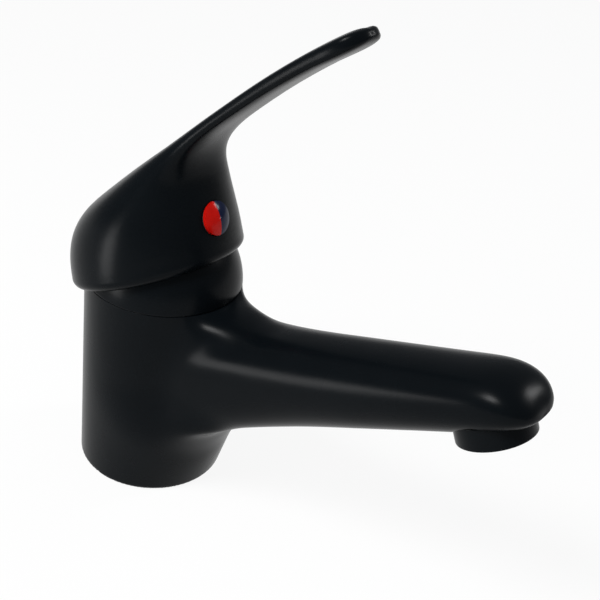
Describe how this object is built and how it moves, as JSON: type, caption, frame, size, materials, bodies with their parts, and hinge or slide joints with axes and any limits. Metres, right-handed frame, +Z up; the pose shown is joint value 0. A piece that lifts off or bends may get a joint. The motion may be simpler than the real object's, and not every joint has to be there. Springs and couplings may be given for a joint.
{
  "type": "bathroom mixer faucet",
  "caption": "Single-lever basin mixer faucet with a conical body, a rising spout with an aerator, and a ceramic cartridge under a domed handle with a long blade",
  "frame": {"origin": "centre of the body's base, on the basin's deck", "axes": "+Z up, +X towards the spout's outlet, +Y to the faucet's left seen from behind; lever turned to the middle and fully raised"},
  "size_m": [0.171, 0.059, 0.1784],
  "materials": {
    "black_coating": "satin",
    "cartridge_plastic": "matte",
    "rotor_plastic": "matte",
    "ceramic_disc": "polished",
    "seal_rubber": "matte",
    "nut_brass": "turned",
    "pin_steel": "ground",
    "outlet_plastic": "moulded",
    "indicator_red": "gloss",
    "indicator_blue": "gloss",
    "plug_plastic": "moulded"
  },
  "bodies": {
    "body": {"faucet_body": "black_coating", "base_seal": "seal_rubber", "cartridge_base": "cartridge_plastic", "port_seals": "seal_rubber", "disc_seals": "seal_rubber", "fixed_disc": "ceramic_disc", "cartridge_housing": "cartridge_plastic", "slip_ring": "cartridge_plastic", "retaining_nut": "nut_brass", "dome_collar": "black_coating", "aerator_housing": "black_coating", "aerator_outlet": "outlet_plastic", "aerator_insert": "outlet_plastic", "aerator_screen": "pin_steel", "aerator_washer": "seal_rubber"},
    "rotor": {"rotor": "rotor_plastic", "rotor_seal": "seal_rubber", "pivot_pin": "pin_steel"},
    "handle": {"stem": "pin_steel", "lever_handle": "black_coating", "handle_screw": "pin_steel", "indicator_plug": "plug_plastic", "indicator_hot": "indicator_red", "indicator_cold": "indicator_blue"},
    "discs": {"disc_carrier": "rotor_plastic", "moving_disc": "ceramic_disc"}
  },
  "joints": [
    {"name": "lever_turn", "type": "hinge", "parent": "body", "child": "rotor", "pos_m": [0, 0, 0.072], "axis": [0, 0, 1], "range_deg": [-45, 45]},
    {"name": "lever_lift", "type": "hinge", "parent": "rotor", "child": "handle", "pos_m": [0, 0, 0.072], "axis": [0, 1, 0], "range_deg": [0, 26.7]},
    {"name": "disc_slide", "type": "slide", "parent": "rotor", "child": "discs", "axis": [-1, 0, 0], "range_m": [0, 0.0056]}
  ],
  "couplings": [
    {"joint": "disc_slide", "follows": "lever_lift", "m_per_rad": 0.012}
  ]
}
